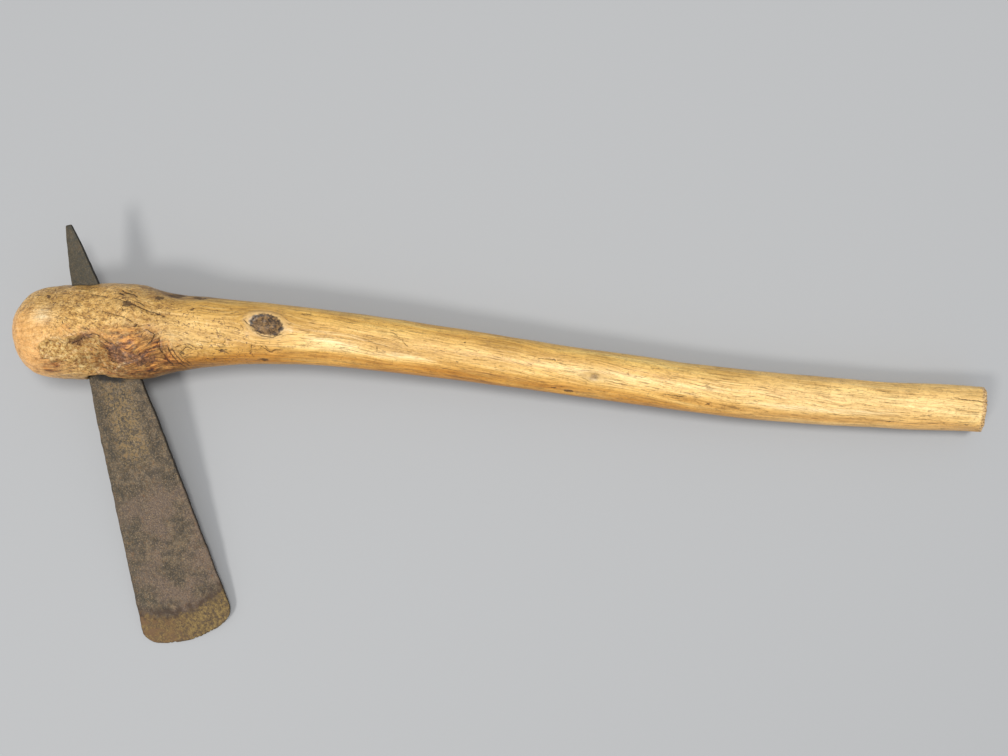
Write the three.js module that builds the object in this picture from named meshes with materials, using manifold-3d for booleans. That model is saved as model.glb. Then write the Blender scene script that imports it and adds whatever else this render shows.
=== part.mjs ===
// A tanged iron axe in a one-piece knobbed wooden haft, lying on its side.
// Units are millimetres and +Z is up. The haft's two ends lie on the X axis: the knob's nose is at x = 0
// and the grip runs to +X. The blade goes through the knob: its tang comes out towards +Y and its cutting
// edge points to -Y. At the end the group is moved so that its origin is the centre of its box's underside.
import * as THREE from "three";
import Module from "manifold-3d";
import { mergeVertices } from "three/addons/utils/BufferGeometryUtils.js";

// Haft: along x, the half-width in plan, the height of its axis, and the bend of its axis in plan.
const HAFT_LENGTH = 573;
const HAFT_HALF_WIDTH = [
  [0, 27.6], [22, 27.5], [48, 28.3], [64, 28.3], [92, 23.0], [132, 18.3],
  [192, 16.1], [312, 14.6], [462, 14.4], [552, 13.7], [573, 13.3],
];
const HAFT_AXIS_Y = [
  [0, 1.6], [22, 1.6], [52, 4.7], [77, 5.2], [107, 8.3], [157, 11.0],
  [242, 7.9], [342, 1.5], [447, -3.3], [502, -3.1], [573, -0.3],
];
const HAFT_AXIS_Z = [
  [0, 25.0], [66, 25.0], [122, 23.4], [242, 19.0], [392, 15.1], [512, 12.8], [573, 12.5],
];
const HAFT_HEIGHT_RATIO = [[0, 0.9], [92, 0.9], [192, 0.94], [573, 0.94]];
const NOSE_LENGTH = 29.3;
const NOSE_BLUNTNESS = 2.65;
const BUTT_ARRIS = 3.2;
const BUTT_SLANT = 24;
const BUTT_SLANT_RUN = 25;
const NOSE_RINGS = 9;
const HAFT_RINGS = 48;
const HAFT_SIDES = 44;

// Hollows and swellings of the haft: where they lie along x and round the section (from +Y over the top),
// how far they reach along the haft and round it, and how far they stand out or in.
const HAFT_FEATURES = [
  { name: "rough hollow", x: 53, turn: 122, length: 11, arc: 9, rise: -2.6 },
  { name: "shoulder fold", x: 80, turn: 118, length: 5, arc: 20, rise: 0.9 },
  { name: "shoulder dip", x: 93, turn: 128, length: 7, arc: 14, rise: -0.7 },
  { name: "knot collar", x: 145, turn: 71, length: 10, arc: 7, rise: 0.9 },
  { name: "knot eye", x: 145, turn: 71, length: 5, arc: 3.5, rise: -0.8 },
  { name: "lip over the slot", x: 52, turn: 165, length: 12, arc: 6, rise: 0.8 },
];

// Blade: a tapering plate, measured from the tang's tip to the cutting edge.
const BLADE_LENGTH = 258;
const BLADE_NOSE_SIDE = [
  [0, 1.4], [14, 4.5], [33, 7.7], [90, 14.1], [111, 17.0], [150, 19.9], [200, 24.4], [228, 26.1], [258, 29.6],
];
const BLADE_GRIP_SIDE = [
  [0, 1.6], [14, 4.3], [34, 7.0], [96, 15.7], [150, 20.8], [200, 24.0], [228, 26.3], [258, 29.5],
];
const BLADE_MIDDLE_THICKNESS = [
  [0, 2.2], [30, 3.6], [60, 4.4], [130, 4.4], [200, 3.5], [238, 2.7], [258, 0.8],
];
const BLADE_SIDE_THICKNESS = [
  [0, 1.5], [30, 2.4], [60, 2.7], [130, 2.4], [200, 2.0], [238, 1.5], [258, 0.5],
];
const CORNER_RADIUS = 7.5;
const EDGE_BOW = 0.0092;
const EDGE_SKEW = 0.084;
const EDGE_BEND_START = 190;
const BLADE_SPANS = 8;
const BLADE_RINGS = 30;
const CORNER_RINGS = 5;

// Where the blade lies: its tang tip in plan, its lean towards the grip and the rise of its plane to +Y.
const TANG_TIP = new THREE.Vector2(27.8, 63.0);
const BLADE_LEAN = 17.2;
const BLADE_RISE = 8;

// Slot: its clearance round the blade, the stretch of blade it is cut for, and its gaping lower mouth.
const SLOT_CLEARANCE = 0.4;
const SLOT_START = 12;
const SLOT_END = 118;
const MOUTH_START = 72;
const MOUTH_DEPTH = 24;
const MOUTH_GAPE = 3.2;
const OUTLINE_TOLERANCE = 1e-4;

// A smooth curve through [x, value] stations that never overshoots them.
function through(stations) {
  const slopes = stations.slice(1).map(([x, v], i) => (v - stations[i][1]) / (x - stations[i][0]));
  const tangents = stations.map((_, i) => {
    if (i === 0) return slopes[0];
    if (i === slopes.length) return slopes[i - 1];
    const product = slopes[i - 1] * slopes[i];
    return product <= 0 ? 0 : (2 * product) / (slopes[i - 1] + slopes[i]);
  });
  return (x) => {
    const next = stations.findIndex(([end], i) => i > 0 && x <= end);
    const i = next < 0 ? stations.length - 2 : next - 1;
    const span = stations[i + 1][0] - stations[i][0];
    const t = THREE.MathUtils.clamp((x - stations[i][0]) / span, 0, 1);
    const ease = t * t * (3 - 2 * t);
    const lead = t * (1 - t) * (1 - t);
    const trail = t * t * (1 - t);
    return (
      THREE.MathUtils.lerp(stations[i][1], stations[i + 1][1], ease) +
      span * (tangents[i] * lead - tangents[i + 1] * trail)
    );
  };
}

// A closed solid through rings of points, each ring turning right-handed about the way the rings go.
function loft(rings) {
  const count = rings[0].length;
  const first = rings[0];
  const last = rings[rings.length - 1];
  const points = rings.flat();
  const nearEnd = points.push(centreOf(first)) - 1;
  const farEnd = points.push(centreOf(last)) - 1;
  const index = [];
  for (let r = 0; r + 1 < rings.length; r += 1) {
    for (let k = 0; k < count; k += 1) {
      const here = r * count + k;
      const beside = r * count + ((k + 1) % count);
      index.push(here, beside, here + count, beside, beside + count, here + count);
    }
  }
  const lastRing = (rings.length - 1) * count;
  for (let k = 0; k < count; k += 1) {
    const beside = (k + 1) % count;
    index.push(nearEnd, beside, k, farEnd, lastRing + k, lastRing + beside);
  }
  const geometry = new THREE.BufferGeometry().setFromPoints(points);
  geometry.setIndex(index);
  geometry.computeVertexNormals();
  return geometry;
}

function centreOf(ring) {
  return ring.reduce((sum, p) => sum.add(p), new THREE.Vector3()).divideScalar(ring.length);
}

const haftHalfWidth = through(HAFT_HALF_WIDTH);
const haftAxisY = through(HAFT_AXIS_Y);
const haftAxisZ = through(HAFT_AXIS_Z);
const haftHeightRatio = through(HAFT_HEIGHT_RATIO);

// The nose closes like a blunt superellipse, and the butt's arris is a small quarter round.
function endScale(x) {
  const nose = THREE.MathUtils.clamp(1 - x / NOSE_LENGTH, 0, 1);
  const butt = THREE.MathUtils.clamp((x - HAFT_LENGTH + BUTT_ARRIS) / BUTT_ARRIS, 0, 1);
  const worn = BUTT_ARRIS * (1 - Math.sqrt(1 - butt * butt));
  return (1 - nose ** NOSE_BLUNTNESS) ** (1 / NOSE_BLUNTNESS) - worn / haftHalfWidth(x);
}

function featureRise(x, turn, radius) {
  return HAFT_FEATURES.reduce((sum, feature) => {
    const away = THREE.MathUtils.euclideanModulo(turn - feature.turn + 180, 360) - 180;
    const round = (THREE.MathUtils.degToRad(away) * radius) / feature.arc;
    const along = (x - feature.x) / feature.length;
    return sum + feature.rise * Math.exp(-(round * round + along * along));
  }, 0);
}

// The rings tilt towards the butt, which is sawn at a slant.
function haftRing(x) {
  const halfWidth = haftHalfWidth(x) * endScale(x);
  const tilt = THREE.MathUtils.smoothstep(x, HAFT_LENGTH - BUTT_SLANT_RUN, HAFT_LENGTH - BUTT_ARRIS);
  const slant = tilt * Math.tan(THREE.MathUtils.degToRad(BUTT_SLANT));
  return Array.from({ length: HAFT_SIDES }, (_, k) => {
    const turn = (360 * k) / HAFT_SIDES;
    const angle = THREE.MathUtils.degToRad(turn);
    const reach = halfWidth + featureRise(x, turn, halfWidth) * endScale(x);
    const height = reach * Math.sin(angle) * haftHeightRatio(x);
    return new THREE.Vector3(
      x - height * slant,
      haftAxisY(x) + reach * Math.cos(angle),
      haftAxisZ(x) + height,
    );
  });
}

// Rings stand close together round the knob and further apart along the grip.
function haftStations() {
  const nose = Array.from({ length: NOSE_RINGS }, (_, i) => {
    const angle = ((i + 0.5) / NOSE_RINGS) * (Math.PI / 2);
    return NOSE_LENGTH * (1 - Math.cos(angle));
  });
  const run = HAFT_LENGTH - BUTT_ARRIS - NOSE_LENGTH;
  const body = Array.from({ length: HAFT_RINGS }, (_, i) => {
    const t = i / (HAFT_RINGS - 1);
    return NOSE_LENGTH + run * (0.35 * t + 0.65 * t * t);
  });
  const butt = [0.5, 0.85, 1].map((t) => HAFT_LENGTH - BUTT_ARRIS * (1 - t));
  return [...nose, ...body, ...butt];
}

const bladeNoseSide = through(BLADE_NOSE_SIDE);
const bladeGripSide = through(BLADE_GRIP_SIDE);
const bladeMiddle = through(BLADE_MIDDLE_THICKNESS);
const bladeSide = through(BLADE_SIDE_THICKNESS);

// One section of the blade at a distance from the tang's tip. Local +X is towards the grip, local -Y is
// towards the cutting edge, and local +Z is the upper face. Clearance and gape enlarge it for the slot.
function bladeRing(distance, clearance = 0, gape = 0) {
  const corner = THREE.MathUtils.clamp((distance - BLADE_LENGTH) / CORNER_RADIUS + 1, 0, 1);
  const rounding = CORNER_RADIUS * (1 - Math.sqrt(1 - corner * corner));
  const noseSide = bladeNoseSide(distance) - rounding + clearance;
  const gripSide = bladeGripSide(distance) - rounding + clearance;
  const middle = bladeMiddle(distance) / 2;
  const side = bladeSide(distance) / 2;
  const bend = THREE.MathUtils.smoothstep(distance, EDGE_BEND_START, BLADE_LENGTH);
  const upper = [];
  const lower = [];
  for (let i = 0; i <= BLADE_SPANS; i += 1) {
    const q = 1 - (2 * i) / BLADE_SPANS;
    const across = q > 0 ? q * gripSide : q * noseSide;
    const down = distance - bend * across * (EDGE_SKEW + EDGE_BOW * across);
    const half = side + (middle - side) * (1 - q * q) + clearance;
    upper.push(new THREE.Vector3(across, -down, half + (gape * (1 - q)) / 2));
    lower.unshift(new THREE.Vector3(across, -down, -half));
  }
  return [...upper, ...lower];
}

function bladeStations() {
  const body = Array.from({ length: BLADE_RINGS }, (_, i) => {
    return ((BLADE_LENGTH - CORNER_RADIUS) * i) / (BLADE_RINGS - 1);
  });
  const corners = Array.from({ length: CORNER_RINGS }, (_, i) => {
    const angle = ((i + 1) / CORNER_RINGS) * (Math.PI / 2);
    return BLADE_LENGTH - CORNER_RADIUS * (1 - Math.sin(angle));
  });
  return [...body, ...corners];
}

// What the slot takes out of the haft: the blade with its clearance, gaping at the lower mouth.
function slotGeometry() {
  const inside = bladeStations().filter((d) => d > SLOT_START && d < SLOT_END);
  return loft(
    inside.map((d) => {
      const gape = MOUTH_GAPE * THREE.MathUtils.clamp((d - MOUTH_START) / MOUTH_DEPTH, 0, 1);
      return bladeRing(d, SLOT_CLEARANCE, gape);
    }),
  );
}

const wasm = await Module();
wasm.setup();

function solidOf(mesh) {
  mesh.updateMatrixWorld(true);
  const bare = mesh.geometry.clone().applyMatrix4(mesh.matrixWorld);
  bare.deleteAttribute("normal");
  bare.deleteAttribute("uv");
  const merged = mergeVertices(bare, OUTLINE_TOLERANCE);
  return new wasm.Manifold(
    new wasm.Mesh({
      numProp: 3,
      vertProperties: merged.attributes.position.array,
      triVerts: new Uint32Array(merged.index.array),
    }),
  );
}

function geometryOf(solid) {
  const cut = solid.getMesh();
  const geometry = new THREE.BufferGeometry();
  geometry.setAttribute("position", new THREE.BufferAttribute(cut.vertProperties, 3));
  geometry.setIndex(new THREE.BufferAttribute(cut.triVerts, 1));
  geometry.computeVertexNormals();
  return geometry;
}

// The blade leans and rises about its tang tip, and its lowest corner touches the ground.
function place(mesh) {
  mesh.rotation.set(THREE.MathUtils.degToRad(BLADE_RISE), 0, THREE.MathUtils.degToRad(BLADE_LEAN));
  mesh.position.set(TANG_TIP.x, TANG_TIP.y, tangTipHeight);
  return mesh;
}

function buildBlade() {
  const iron = new THREE.MeshStandardMaterial({ color: 0x645848, roughness: 0.7, metalness: 0.75 });
  const blade = new THREE.Mesh(loft(bladeStations().map((d) => bladeRing(d))), iron);
  blade.name = "blade";
  return blade;
}

// The haft is the lofted wood less the slot and less the flats that the ground wears on it at z = 0.
function buildHaft() {
  const wood = new THREE.MeshStandardMaterial({ color: 0xc8a05f, roughness: 0.5, metalness: 0 });
  const whole = new THREE.Mesh(loft(haftStations().map(haftRing)));
  const slot = place(new THREE.Mesh(slotGeometry()));
  const ground = new THREE.Mesh(new THREE.BoxGeometry(2 * HAFT_LENGTH, HAFT_LENGTH, HAFT_LENGTH));
  ground.position.set(HAFT_LENGTH / 2, 0, -HAFT_LENGTH / 2);
  const carved = solidOf(whole).subtract(solidOf(slot)).subtract(solidOf(ground));
  const haft = new THREE.Mesh(geometryOf(carved), wood);
  haft.name = "haft";
  return haft;
}

const blade = buildBlade();
blade.rotation.set(THREE.MathUtils.degToRad(BLADE_RISE), 0, THREE.MathUtils.degToRad(BLADE_LEAN));
const tangTipHeight = -new THREE.Box3().setFromObject(blade, true).min.z;
place(blade);

const group = new THREE.Group();
group.name = "hafted_tanged_axe";
group.add(buildHaft(), blade);
const box = new THREE.Box3().setFromObject(group, true);
const middle = box.getCenter(new THREE.Vector3());
group.position.set(-middle.x, -middle.y, -box.min.z);

export default group;
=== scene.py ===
"""The looks of a hafted tanged axe: its knobbed wooden haft and its forged iron blade.

Lengths are in metres where Blender needs them, and in millimetres while the skins are being worked out.
Millimetre points are in the plan frame: x from the knob's nose, y from the middle of the haft's box, z up.
"""

import contextlib
import itertools
import math

import bmesh
import bpy
import numpy as np
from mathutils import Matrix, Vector
from mathutils.bvhtree import BVHTree
from mathutils.geometry import convex_hull_2d


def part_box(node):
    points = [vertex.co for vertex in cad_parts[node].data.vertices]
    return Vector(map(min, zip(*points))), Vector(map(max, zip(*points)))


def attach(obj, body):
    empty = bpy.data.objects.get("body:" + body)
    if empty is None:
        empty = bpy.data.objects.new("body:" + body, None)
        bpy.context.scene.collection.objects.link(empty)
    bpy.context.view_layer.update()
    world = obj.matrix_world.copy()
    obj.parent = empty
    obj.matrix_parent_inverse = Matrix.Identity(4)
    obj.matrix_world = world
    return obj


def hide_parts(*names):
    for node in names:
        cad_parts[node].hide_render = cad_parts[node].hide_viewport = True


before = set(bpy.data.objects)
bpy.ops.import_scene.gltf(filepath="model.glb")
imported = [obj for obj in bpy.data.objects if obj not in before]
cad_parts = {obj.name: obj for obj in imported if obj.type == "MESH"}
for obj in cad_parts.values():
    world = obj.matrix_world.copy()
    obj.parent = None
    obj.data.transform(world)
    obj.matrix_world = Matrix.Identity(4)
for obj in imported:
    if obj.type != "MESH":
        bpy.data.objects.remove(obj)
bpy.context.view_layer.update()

MM = 0.001

HAFT_LOW, HAFT_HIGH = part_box("haft")
PLAN_ORIGIN = Vector((HAFT_LOW.x, (HAFT_LOW.y + HAFT_HIGH.y) / 2, 0))
HAFT_LENGTH = (HAFT_HIGH.x - HAFT_LOW.x) / MM

# Camera, in metres and millimetres of lens: straight above the haft, as a phone held over it, and turned a
# little about the vertical.
CAMERA_HEIGHT = 0.4687
CAMERA_ASIDE = Vector((-0.0052, -0.0084, 0))
CAMERA_TURN = math.radians(4.523)
CAMERA_LENS = 27.0

# The floor reaches far beyond the axe, and lies just under the lowest point of its relief.
FLOOR_REACH = 60.0
FLOOR_GAP = 0.0003

# Studio light from all round.
SKY_COLOUR = (0.95, 0.97, 1.0, 1.0)
SKY_STRENGTH = 0.55

# Rays start this far to a side or above, and this far below, outside every solid.
FAR = 99
BELOW = -9

# The haft's breadth is measured at a share of its height where the blade isn't in the way. The chord there
# is about 1.6 half-widths, so a breadth is a third more than a half-width, and the sides lie near 0.75 of it.
CLEAR_LEVEL = 0.8
CHORD_TO_BREADTH = 1.2

# Haft skin: where its end rows fan out from, where its finely spaced rows end, its points in a row, where
# its rays start, how near the blade they aren't trusted, its smoothness, and the most its relief moves it.
NOSE_CENTRE = 28.0
BUTT_CENTRE = HAFT_LENGTH - 14.0
KNOB_END = 160.0
SKIN_SIDES = 196
RAY_START = 120.0
SLOT_MARGIN = 5.0
SKIN_HARMONICS = 16
RELIEF_LIMIT = 7.0

# The skin's rows: how many round the nose, their step along the knob, and how many on the grip and butt.
NOSE_ROWS = 54
KNOB_STEP = 0.84
GRIP_ROWS = 176
BUTT_ROWS = 84

# The butt: the fan angle its sawn face starts at, how sharp its arris is, and how the face leans back.
BUTT_FACE_FROM = 166.0
BUTT_SQUARENESS = 26.0
BUTT_LEAN = 0.445
BUTT_MIDDLE = 12.5

# The slot: its clearance round the blade, how far its lower mouth gapes, and the depth of the notch there.
SLOT_CLEARANCE = 0.55
SLOT_GAPE = 4.4
NOTCH_DEPTH = 4.6

# The shoulder's wrinkled fibres: the centre they curve round, their radius, and the step between them.
FOLD_CENTRE = (117.0, -0.5)
FOLD_RADIUS = 23.0
FOLD_STEP = 2.6

# Blade skin: rows along it and across it, and its rounded side arris.
BLADE_ROWS = 340
BLADE_COLUMNS = 76
BLADE_ARRIS = 0.45

# How far the lower sheet's relief is shifted, so that the blade's two faces differ.
SHEET_SHIFT = 50.0


def link(obj):
    bpy.context.scene.collection.objects.link(obj)


# ---------------------------------------------------------------- small mathematics


def lattice_value(cells, seed):
    """A repeatable value from -1 to 1 for each whole-number cell."""
    c = cells.astype(np.int64)
    mixed = (c[..., 0] * 73856093) ^ (c[..., 1] * 19349663) ^ (c[..., 2] * 83492791) ^ (seed * 6542989)
    mixed = (mixed & 0x7FFFFFFF) * 48271 & 0x7FFFFFFF
    mixed = ((mixed ^ (mixed >> 15)) * 69621) & 0x7FFFFFFF
    return ((mixed ^ (mixed >> 11)) & 0xFFFF) / 32767.5 - 1.0


def value_noise(points, seed):
    """Smooth noise from -1 to 1 at each point, with features one unit across."""
    base = np.floor(points)
    part = points - base
    part = part * part * (3 - 2 * part)
    total = np.zeros(points.shape[:-1])
    for corner in itertools.product((0, 1), repeat=3):
        weight = np.prod(np.where(np.array(corner) == 1, part, 1 - part), axis=-1)
        total += weight * lattice_value(base + corner, seed)
    return total


def fractal(points, seed, octaves=3, gain=0.5):
    """Several layers of noise, each twice as fine as the one before."""
    total = np.zeros(points.shape[:-1])
    for octave in range(octaves):
        total += gain**octave * value_noise(points * 2.0**octave, seed + 17 * octave)
    return total


def ease(low, high, value):
    """0 below low, 1 above high, smooth between. Low may be above high."""
    t = np.clip((value - low) / (high - low), 0, 1)
    return t * t * (3 - 2 * t)


def blur_rows(grid, reach):
    """The grid with its rows averaged over about reach rows each way."""
    span = int(3 * reach) + 1
    weights = np.exp(-0.5 * (np.arange(-span, span + 1) / reach) ** 2)
    weights /= weights.sum()
    padded = np.pad(grid, [(span, span)] + [(0, 0)] * (grid.ndim - 1), mode="edge")
    return sum(w * padded[k : k + len(grid)] for k, w in enumerate(weights))


def to_plan(points):
    """Frame points in metres, as plan points in millimetres."""
    return (np.asarray(points, float) - np.array(PLAN_ORIGIN)) / MM


def from_plan(points):
    """Plan points in millimetres, as frame points in metres."""
    return np.asarray(points, float) * MM + np.array(PLAN_ORIGIN)


def mesh_points(obj):
    """An object's vertices as plan points."""
    points = np.empty(len(obj.data.vertices) * 3)
    obj.data.vertices.foreach_get("co", points)
    return to_plan(points.reshape(-1, 3))


def node_points(node):
    """A CAD node's vertices as plan points."""
    return mesh_points(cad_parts[node])


def node_tree(node):
    faces = [tuple(p.vertices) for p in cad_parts[node].data.polygons]
    return BVHTree.FromPolygons(node_points(node).tolist(), faces)


HAFT_TREE = node_tree("haft")
BLADE_TREE = node_tree("blade")


def reach(tree, start, direction):
    """Where a ray first meets a solid, or None."""
    hit = tree.ray_cast(Vector(start), Vector(direction).normalized())[0]
    return None if hit is None else np.array(hit)


def on_top(x, y):
    """The plan point of the haft's upper skin above x, y."""
    return reach(HAFT_TREE, (x, y, FAR), (0, 0, -1))


def underneath(x, y):
    """The plan point of the haft's lower skin below x, y."""
    return reach(HAFT_TREE, (x, y, BELOW), (0, 0, 1))


# ---------------------------------------------------------------- the haft's spine and skin


def measure_spine():
    """The haft's middle in plan and in height, its breadth and its half-height, at even stations along it."""
    stations = np.arange(3.0, HAFT_LENGTH - 9.0, 4.0)
    middles = []
    for x in stations:
        top, low = on_top(x, 0)[2], underneath(x, 0)[2]
        level = low + CLEAR_LEVEL * (top - low)
        left = reach(HAFT_TREE, (x, -FAR, level), (0, 1, 0))[1]
        right = reach(HAFT_TREE, (x, FAR, level), (0, -1, 0))[1]
        y = (left + right) / 2
        top, low = on_top(x, y)[2], underneath(x, y)[2]
        middles.append((y, (top + low) / 2, (right - left) / CHORD_TO_BREADTH, (top - low) / 2))
    return stations, blur_rows(np.array(middles), 2.0)


STATIONS, MIDDLES = measure_spine()


def spine(x):
    """The spine's y and z, and the haft's breadth and half-height, at x."""
    return tuple(np.interp(x, STATIONS, MIDDLES[:, k]) for k in range(4))


def skin_rows():
    """Each row's place on the spine and its fan angle: 0 points off the nose and 180 off the butt."""
    coarse = 1.0
    nose = [(NOSE_CENTRE, a) for a in np.linspace(2.5, 89, int(NOSE_ROWS / coarse))]
    knob = [(x, 90.0) for x in np.arange(NOSE_CENTRE, KNOB_END, KNOB_STEP * coarse)]
    grip = [(x, 90.0) for x in np.linspace(KNOB_END, BUTT_CENTRE, int(GRIP_ROWS / coarse))]
    butt = [(BUTT_CENTRE, a) for a in np.linspace(91, 178, int(BUTT_ROWS / coarse))]
    return np.array(nose + knob + grip + butt)


def measure_skin():
    """Rays from outside to the spine give the haft's skin, bridged over the slot's two mouths."""
    rows = skin_rows()
    sides = SKIN_SIDES
    turns = np.arange(sides) * 2 * math.pi / sides
    fan = np.radians(rows[:, 1])[:, None]
    y, z, _, _ = spine(rows[:, 0])
    origins = np.stack([rows[:, 0], y, z], -1)[:, None, :]
    ways = np.stack(
        [
            -np.cos(fan) * np.ones_like(turns),
            np.sin(fan) * np.cos(turns),
            np.sin(fan) * np.sin(turns),
        ],
        -1,
    )
    radii = np.zeros(ways.shape[:2])
    for i, j in itertools.product(*map(range, radii.shape)):
        start = origins[i, 0] + RAY_START * ways[i, j]
        hit = reach(HAFT_TREE, start, -ways[i, j])
        known = hit is not None and BLADE_TREE.find_nearest(Vector(hit))[3] > SLOT_MARGIN
        radii[i, j] = np.linalg.norm(hit - origins[i, 0]) if known else np.nan
    radii = smooth_skin(rows, bridge(radii))
    return origins, ways, square_butt(rows, origins, ways, radii)


def bridge(radii):
    """Fills each row's gaps from its known neighbours round the haft."""
    count = radii.shape[1]
    place = np.arange(count)
    for row in radii:
        known = ~np.isnan(row)
        if not known.all():
            row[~known] = np.interp(place[~known], place[known], row[known], period=count)
    return radii


def smooth_skin(rows, radii):
    """Takes the facets out of the skin, more on the long grip than on the knob."""
    waves = np.fft.rfft(radii, axis=1)
    order = np.arange(waves.shape[1])
    waves *= np.exp(-((order / SKIN_HARMONICS) ** 4))
    radii = np.fft.irfft(waves, radii.shape[1], axis=1)
    fine = blur_rows(radii, 1.5)
    broad = blur_rows(radii, 6.0)
    on_grip = ease(110, 150, rows[:, 0]) * ease(HAFT_LENGTH - 20, HAFT_LENGTH - 40, rows[:, 0])
    return fine + on_grip[:, None] * (broad - fine)


def square_butt(rows, origins, ways, radii):
    """Sharpens the butt's arris: each ray ends at the side skin or at the sawn plane, whichever is nearer."""
    first = int(np.flatnonzero(rows[:, 1] > 90)[0])
    fan = np.radians(rows[first:, 1])[:, None]
    side = radii[first - 1] / np.maximum(np.sin(fan), 1e-3)
    on_face = (origins + radii[..., None] * ways)[rows[:, 1] > BUTT_FACE_FROM].reshape(-1, 3)
    middle = on_face.mean(0)
    normal = np.linalg.svd(on_face - middle, full_matrices=False)[2][-1]
    normal *= np.sign(normal[0])
    facing = np.maximum(ways[first:] @ normal, 1e-3)
    face = ((middle - origins[first:]) @ normal) / facing
    sharp = (side**-BUTT_SQUARENESS + face**-BUTT_SQUARENESS) ** (-1 / BUTT_SQUARENESS)
    squared = radii.copy()
    squared[first:] = sharp
    return squared


def grid_normals(points):
    """Outward unit normals of a grid whose columns go right-handed about its rows."""
    along = np.gradient(points, axis=0)
    around = (np.roll(points, -1, 1) - np.roll(points, 1, 1)) / 2
    normals = np.cross(around, along)
    return normals / np.maximum(np.linalg.norm(normals, axis=-1, keepdims=True), 1e-9)


def grid_faces(rows, columns):
    """Quads of a closed tube of rows, and a fan at each end to two last vertices."""
    quads = []
    for i in range(rows - 1):
        for j in range(columns):
            beside = (j + 1) % columns
            here, beyond = i * columns, (i + 1) * columns
            quads.append((here + j, here + beside, beyond + beside, beyond + j))
    near, far = rows * columns, rows * columns + 1
    last = (rows - 1) * columns
    for j in range(columns):
        beside = (j + 1) % columns
        quads.append((near, beside, j))
        quads.append((far, last + j, last + beside))
    return quads


# ---------------------------------------------------------------- where the haft's marks are


KNOT = on_top(144.7, 11.4)
SMALL_KNOT = on_top(335.5, -3.6)
HOLLOW = on_top(50.0, -14.0)
CRATER = on_top(31.0, -13.5)
STAIN = on_top(66.0, -12.0)
DARK_STAIN = on_top(80.0, -14.5)
FRAY = on_top(78.0, -20.0)
NOSE_STAIN = on_top(28.0, -22.0)
NOTCH = np.array([52.5, -27.4, 29.5])
DIMPLES = on_top(109.0, -7.5)
KNOT_RADIUS = 7.4
SMALL_KNOT_RADIUS = 2.8

# The large knot as it is painted, and the ring in it: plan centre, reach along and across, and tilt.
KNOT_HEART = ((146.2, 11.3), 9.8, 5.9, -0.20)
KNOT_RING = ((151.0, 9.5), 3.9, 3.5)

# Cracks and scars on the upper side: width, depth of the groove, and the path in plan.
CRACKS = [
    (0.55, 0.5, [(47, 20.2), (53, 19.8), (58.5, 19)]),
    (0.80, 1.0, [(61.5, 19.2), (68, 17.8), (74, 16), (81, 13.4), (93, 10.6)]),
    (0.70, 0.7, [(62.5, 22.6), (66.5, 21.3)]),
    (0.45, 0.4, [(56, 11.2), (62, 10.2), (70, 8.8), (76, 6.0)]),
    (2.60, 2.2, [(40.6, -8.2), (44.5, -6.6), (49.6, -3.2)]),
    (1.00, 1.1, [(49.6, -3.2), (54.5, -1.8), (58.5, -3.2), (62, -5.8), (66.5, -7.2)]),
    (0.55, 0.5, [(77.6, 5.4), (76.6, 3.6)]),
    (0.55, 0.5, [(81.4, 1.4), (80, -1.4)]),
    (0.60, 0.6, [(81.5, 3.4), (86.8, 0.6), (85.4, -3.4), (83.4, -5.6)]),
    (0.80, 0.9, [(89.3, -0.5), (89.2, -6.5), (91, -12), (94, -17)]),
    (0.60, 0.8, [(93.6, -5), (94.4, -9.5), (96.8, -14), (99.5, -17)]),
    (0.50, 0.7, [(95.8, -6.2), (97.2, -10.5), (99.6, -14), (102, -16)]),
    (0.45, 0.5, [(98.6, -8), (100.6, -11.6), (103.6, -15.2)]),
    (0.90, 0.6, [(97.4, -5.6), (100.6, -4.4)]),
    (0.60, 0.7, [(63, 24.4), (66, 22.8), (70.5, 22.2), (74, 20.4)]),
    (0.45, 0.5, [(66.4, 24.8), (71.6, 23.4)]),
    (0.50, 0.5, [(71.4, 18.6), (76, 17.6), (79.5, 15.6)]),
    (0.45, 0.4, [(67.6, 14.2), (69.4, 12.2)]),
    (0.55, 0.5, [(101, -7.5), (103.2, -4.8), (107, -6.4)]),
    (0.60, 0.5, [(118, -5), (121.5, -5.6), (125, -4.6)]),
    (0.50, 0.4, [(119.8, -7), (121.5, -5.6), (125.6, -7)]),
    (0.50, 0.4, [(122.6, -1.8), (124.2, 0.2)]),
    (0.60, 0.4, [(138.6, -0.6), (137.4, -6)]),
    (0.60, 0.4, [(133.4, 13), (135.8, 10.8), (141, 8.6)]),
    (0.50, 0.4, [(140.6, 6.4), (145, 4.4), (150.5, 4.2), (156.4, 7)]),
    (0.80, 0.5, [(143, -0.8), (146, -2.6), (148.8, -4.2), (151.6, -2.6), (155.6, -2.4)]),
    (0.50, 0.4, [(146, -0.6), (148.2, -3.4)]),
    (0.50, 0.3, [(125, 15.8), (127.6, 16.6)]),
    (0.55, 0.3, [(215.4, 13.4), (221, 10.8)]),
    (0.45, 0.3, [(223.4, 8.4), (227, 5.2)]),
    (0.40, 0.3, [(209.2, 3.6), (209.6, 1)]),
    (0.45, 0.3, [(302, 4.4), (311, 4.6)]),
    (0.40, 0.2, [(355.6, 1.4), (355, -0.6), (355.8, -1.4)]),
    (0.50, 0.4, [(376, -10.4), (390, -11.2)]),
    (0.45, 0.5, [(548, 0.4), (560, 0.1), (572, -0.6)]),
]

# The dark crevice along the hollow's upper rim.
CREVICE = [(40.0, -8.4), (44.5, -6.4), (50.0, -3.0), (56.0, -2.4)]

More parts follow.
